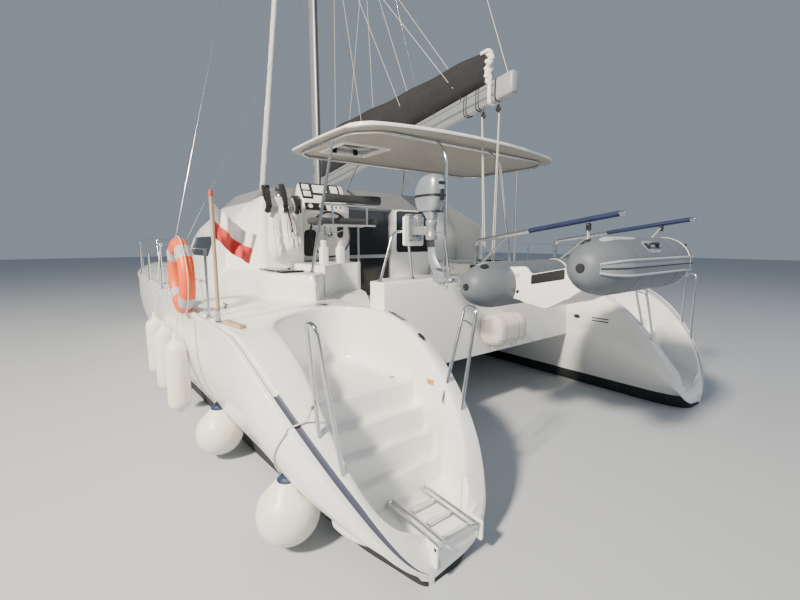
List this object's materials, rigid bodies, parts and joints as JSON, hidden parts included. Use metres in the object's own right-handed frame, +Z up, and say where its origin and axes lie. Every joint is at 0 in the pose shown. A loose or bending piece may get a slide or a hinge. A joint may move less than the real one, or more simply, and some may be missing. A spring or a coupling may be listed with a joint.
{
  "type": "sailing catamaran",
  "caption": "Twin-hull cruising sailing yacht with stern scoops, hardtop over the cockpit, furled sails and an inflatable tender on davits.",
  "frame": {"origin": "on the centreline at half length of the hulls, on the waterline", "axes": "+X to starboard, +Y to the bow, +Z up along the mast"},
  "size_m": [6.736, 12.02, 18.07],
  "materials": {
    "gelcoat": "glossy moulded gelcoat",
    "antifoul": "matt antifouling paint",
    "steel": "polished stainless steel",
    "alloy": "satin anodised",
    "bronze": "dull bronze",
    "smoked_glass": "smoked",
    "pad_vinyl": "matt grey vinyl",
    "bag_cloth": "white canvas",
    "cover_cloth": "charcoal canvas",
    "sailcloth": "white sailcloth",
    "netting": "open net",
    "motor_paint": "silver paint",
    "black_plastic": "satin black",
    "grey_rubber": "coated fabric",
    "raft_cover": "white coated fabric",
    "fender_vinyl": "soft vinyl",
    "orange_foam": "orange shell",
    "wood": "weathered",
    "bunting": "plain white over red"
  },
  "bodies": {
    "hull": {"hull_port": "gelcoat", "hull_starboard": "gelcoat", "keel_port": "antifoul", "keel_starboard": "antifoul", "saildrive_port": "alloy", "saildrive_starboard": "alloy", "bridge_deck": "gelcoat", "saloon": "gelcoat", "saloon_glass_port": "smoked_glass", "saloon_glass_starboard": "smoked_glass", "saloon_glass_front": "smoked_glass", "saloon_glass_aft": "smoked_glass", "helm_console": "gelcoat", "helm_seat_frame": "steel", "helm_seat_pad": "pad_vinyl", "helm_back_pad": "pad_vinyl", "rope_bag": "bag_cloth", "hardtop": "gelcoat", "hardtop_skylight": "smoked_glass", "hardtop_frame": "steel", "crossbeam": "alloy", "trampoline_port": "netting", "trampoline_starboard": "netting", "mast": "alloy", "furled_headsail": "sailcloth", "shrouds_port": "steel", "shrouds_starboard": "steel", "guard_rail_port": "steel", "guard_rail_starboard": "steel", "hoop_port_inner": "steel", "hoop_port_outer": "steel", "hoop_starboard_inner": "steel", "hoop_starboard_outer": "steel", "aft_rail": "steel", "davit_port": "steel", "davit_starboard": "steel", "dinghy_tubes": "grey_rubber", "dinghy_hull": "gelcoat", "life_raft": "raft_cover", "ball_fender_1": "fender_vinyl", "ball_fender_2": "fender_vinyl", "long_fender_1": "fender_vinyl", "long_fender_2": "fender_vinyl", "long_fender_3": "fender_vinyl", "lifebuoy": "orange_foam", "flagstaff": "wood", "flag": "bunting"},
    "boom_body": {"boom": "alloy", "sail_cover": "cover_cloth"},
    "rudder_port_body": {"rudder_port": "antifoul"},
    "rudder_starboard_body": {"rudder_starboard": "antifoul"},
    "wheel_body": {"steering_wheel": "steel"},
    "propeller_port_body": {"propeller_port": "bronze"},
    "propeller_starboard_body": {"propeller_starboard": "bronze"},
    "door_body": {"saloon_door": "smoked_glass"},
    "ladder_body": {"swim_ladder": "steel"},
    "lid_port_body": {"locker_lid_port": "smoked_glass"},
    "lid_starboard_body": {"locker_lid_starboard": "smoked_glass"},
    "motor_body": {"outboard_motor": "motor_paint"},
    "motor_propeller_body": {"outboard_propeller": "black_plastic"}
  },
  "joints": [
    {"name": "boom_swing", "type": "hinge", "parent": "hull", "child": "boom_body", "pos_m": [0, 0.44, 3.34], "axis": [0, 0, 1], "range_deg": [-60, 60]},
    {"name": "rudder_port_turn", "type": "hinge", "parent": "hull", "child": "rudder_port_body", "pos_m": [-2.45, -4.75, -0.5], "axis": [0, 0, 1], "range_deg": [-35, 35]},
    {"name": "rudder_starboard_turn", "type": "hinge", "parent": "hull", "child": "rudder_starboard_body", "pos_m": [2.45, -4.75, -0.5], "axis": [0, 0, 1], "range_deg": [-35, 35]},
    {"name": "wheel_turn", "type": "hinge", "parent": "hull", "child": "wheel_body", "pos_m": [-1, -1.8, 2.29], "axis": [0, 1, 0], "range_deg": [-360, 360]},
    {"name": "propeller_port_spin", "type": "hinge", "parent": "hull", "child": "propeller_port_body", "pos_m": [-2.45, -3.74, -0.76], "axis": [0, 1, 0], "continuous": true},
    {"name": "propeller_starboard_spin", "type": "hinge", "parent": "hull", "child": "propeller_starboard_body", "pos_m": [2.45, -3.74, -0.76], "axis": [0, 1, 0], "continuous": true},
    {"name": "door_slide", "type": "slide", "parent": "hull", "child": "door_body", "axis": [-1, 0, 0], "range_m": [0, 0.88]},
    {"name": "ladder_fold", "type": "hinge", "parent": "hull", "child": "ladder_body", "pos_m": [-2.23, -5.8, 0.262], "axis": [1, 0, 0], "range_deg": [0, 265]},
    {"name": "lid_port_lift", "type": "hinge", "parent": "hull", "child": "lid_port_body", "pos_m": [-2.23, -2.48, 1.827], "axis": [0, -1, 0], "range_deg": [0, 80]},
    {"name": "lid_starboard_lift", "type": "hinge", "parent": "hull", "child": "lid_starboard_body", "pos_m": [2.23, -2.48, 1.827], "axis": [0, 1, 0], "range_deg": [0, 80]},
    {"name": "motor_steer", "type": "hinge", "parent": "hull", "child": "motor_body", "pos_m": [-1.237, -4.38, 2.3], "axis": [0, 0, 1], "range_deg": [-40, 40]},
    {"name": "motor_propeller_spin", "type": "hinge", "parent": "motor_body", "child": "motor_propeller_body", "pos_m": [-1.237, -4.655, 1.81], "axis": [0, 1, 0], "continuous": true}
  ],
  "couplings": [
    {"joint": "rudder_starboard_turn", "follows": "rudder_port_turn", "ratio": 1},
    {"joint": "wheel_turn", "follows": "rudder_port_turn", "ratio": 10}
  ]
}
